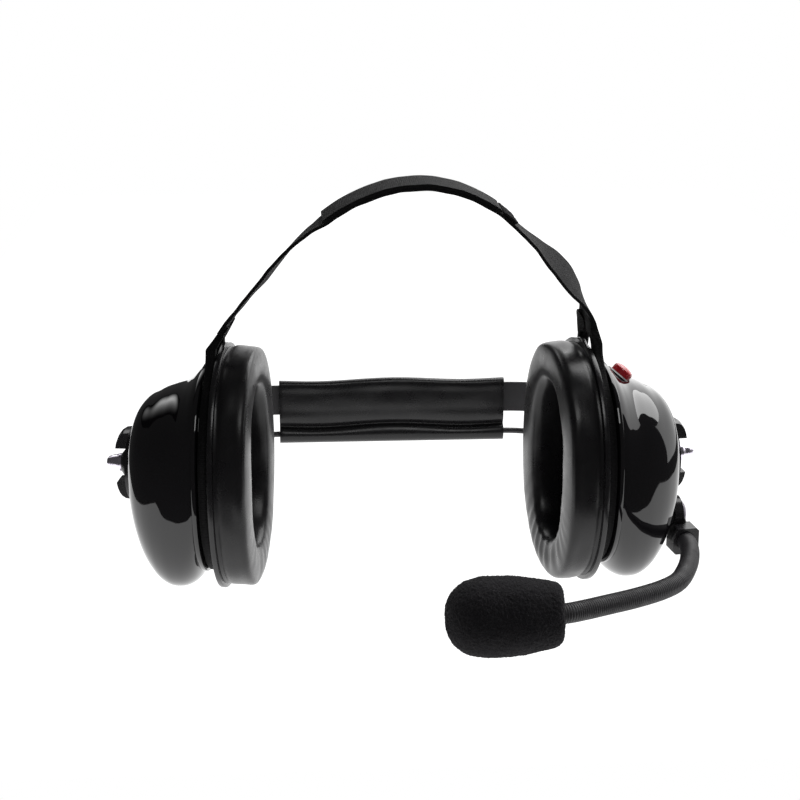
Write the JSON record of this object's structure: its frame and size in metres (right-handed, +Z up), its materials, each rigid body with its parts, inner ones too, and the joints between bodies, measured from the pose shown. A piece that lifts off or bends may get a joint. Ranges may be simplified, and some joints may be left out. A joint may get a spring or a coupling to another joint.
{
  "type": "aviation headset",
  "caption": "Behind-the-head communication headset: two sealed ear cups on a spring band, an overhead strap, a gooseneck boom microphone and a push-to-talk button.",
  "frame": {"origin": "midway between the two ear seal faces, on the axis through the ears", "axes": "+X to the wearer's left (the microphone's side), -Y forward, +Z up towards the overhead strap"},
  "size_m": [0.2626, 0.216, 0.1818],
  "materials": {
    "dome_gloss": "deep glossy black, moulded",
    "black_plastic": "satin black moulding",
    "grey_plastic": "satin grey cap",
    "seal_vinyl": "soft satin black vinyl",
    "sleeve_vinyl": "black vinyl with a piped seam",
    "soft_foam": "open-cell foam",
    "windscreen_foam": "fine-celled black foam",
    "webbing": "woven black nylon",
    "hook_fabric": "hook tape",
    "spring_steel": "black coated spring steel",
    "zinc_steel": "zinc plated",
    "chrome_nut": "polished",
    "boom_rubber": "ribbed matt rubber",
    "lead_jacket": "smooth cable jacket",
    "button_red": "red",
    "board_green": "circuit board",
    "switch_plastic": "switch body",
    "speaker_frame": "pressed frame",
    "speaker_cone": "film cone",
    "magnet": "ferrite with a steel cup"
  },
  "bodies": {
    "rear_band": {"band_center": "spring_steel", "band_sleeve": "sleeve_vinyl", "band_foam": "soft_foam", "center_lead": "lead_jacket"},
    "left_arm": {"left_band_arm": "spring_steel", "left_pivot_hub": "black_plastic", "left_pivot_stud": "zinc_steel", "left_pivot_washer": "black_plastic", "left_acorn_nut": "chrome_nut", "left_lock_nut": "zinc_steel", "left_lead": "lead_jacket"},
    "right_arm": {"right_band_arm": "spring_steel", "right_pivot_hub": "black_plastic", "right_pivot_stud": "zinc_steel", "right_pivot_washer": "black_plastic", "right_acorn_nut": "chrome_nut", "right_lock_nut": "zinc_steel", "right_lead": "lead_jacket"},
    "left_cup": {"left_dome": "dome_gloss", "left_seal_plate": "black_plastic", "left_ear_seal": "seal_vinyl", "left_ear_foam": "soft_foam", "left_speaker_bracket": "black_plastic", "left_speaker_frame": "speaker_frame", "left_speaker_cone": "speaker_cone", "left_speaker_magnet": "magnet", "left_strap_loop": "webbing", "left_plate_screws": "zinc_steel", "left_lead_gland": "boom_rubber", "talk_bezel": "black_plastic", "talk_switch": "switch_plastic", "circuit_board": "board_green", "cord_inlet_gland": "boom_rubber", "boom_base": "black_plastic", "boom_pivot_cap": "grey_plastic"},
    "right_cup": {"right_dome": "dome_gloss", "right_seal_plate": "black_plastic", "right_ear_seal": "seal_vinyl", "right_ear_foam": "soft_foam", "right_speaker_bracket": "black_plastic", "right_speaker_frame": "speaker_frame", "right_speaker_cone": "speaker_cone", "right_speaker_magnet": "magnet", "right_strap_loop": "webbing", "right_plate_screws": "zinc_steel", "right_lead_gland": "boom_rubber"},
    "strap_crown": {"strap_top_layer": "webbing", "strap_under_layer": "webbing", "strap_hook_patch": "hook_fabric", "left_strap_leg": "webbing", "right_strap_leg": "webbing"},
    "talk_button": {"talk_button": "button_red"},
    "boom_swivel": {"boom_swivel_block": "black_plastic"},
    "boom_flex": {"gooseneck_root": "boom_rubber"},
    "boom_tip": {"gooseneck_tip": "boom_rubber", "mic_housing": "black_plastic", "mic_capsule": "zinc_steel", "windscreen": "windscreen_foam"}
  },
  "joints": [
    {"name": "left_arm_flex", "type": "hinge", "parent": "rear_band", "child": "left_arm", "pos_m": [0.0555, 0.101, 0], "axis": [0, 0, 1], "range_deg": [0, 12], "stiffness_Nm_per_rad": 3, "deforming": ["left_lead", "left_strap_leg"]},
    {"name": "right_arm_flex", "type": "hinge", "parent": "rear_band", "child": "right_arm", "pos_m": [-0.0555, 0.101, 0], "axis": [0, 0, -1], "range_deg": [0, 12], "stiffness_Nm_per_rad": 3, "deforming": ["right_lead", "right_strap_leg"]},
    {"name": "left_cup_pivot", "type": "hinge", "parent": "left_arm", "child": "left_cup", "pos_m": [0.1142, 0.00739, 0], "axis": [0.989, 0.1478, 0], "range_deg": [-12, 12]},
    {"name": "right_cup_pivot", "type": "hinge", "parent": "right_arm", "child": "right_cup", "pos_m": [-0.1142, 0.00739, 0], "axis": [-0.989, 0.1478, 0], "range_deg": [-12, 12]},
    {"name": "strap_height", "type": "slide", "parent": "rear_band", "child": "strap_crown", "axis": [0, 0, 1], "range_m": [-0.01, 0.012]},
    {"name": "talk_press", "type": "slide", "parent": "left_cup", "child": "talk_button", "axis": [-0.6489, -0.097, -0.7547], "range_m": [0, 0.0015], "stiffness_N_per_m": 800},
    {"name": "boom_swing", "type": "hinge", "parent": "left_cup", "child": "boom_swivel", "pos_m": [0.11879, -0.00305, -0.025], "axis": [-0.989, -0.1478, 0], "range_deg": [-30, 50]},
    {"name": "boom_in_out", "type": "hinge", "parent": "boom_swivel", "child": "boom_flex", "pos_m": [0.12398, -0.01744, -0.0332], "axis": [0, 0, 1], "range_deg": [-12, 15], "deforming": ["gooseneck_root"]},
    {"name": "boom_up_down", "type": "hinge", "parent": "boom_flex", "child": "boom_tip", "pos_m": [0.1102, -0.0613, -0.0348], "axis": [-0.8251, 0.565, 0], "range_deg": [-20, 20], "deforming": ["gooseneck_tip"]}
  ]
}
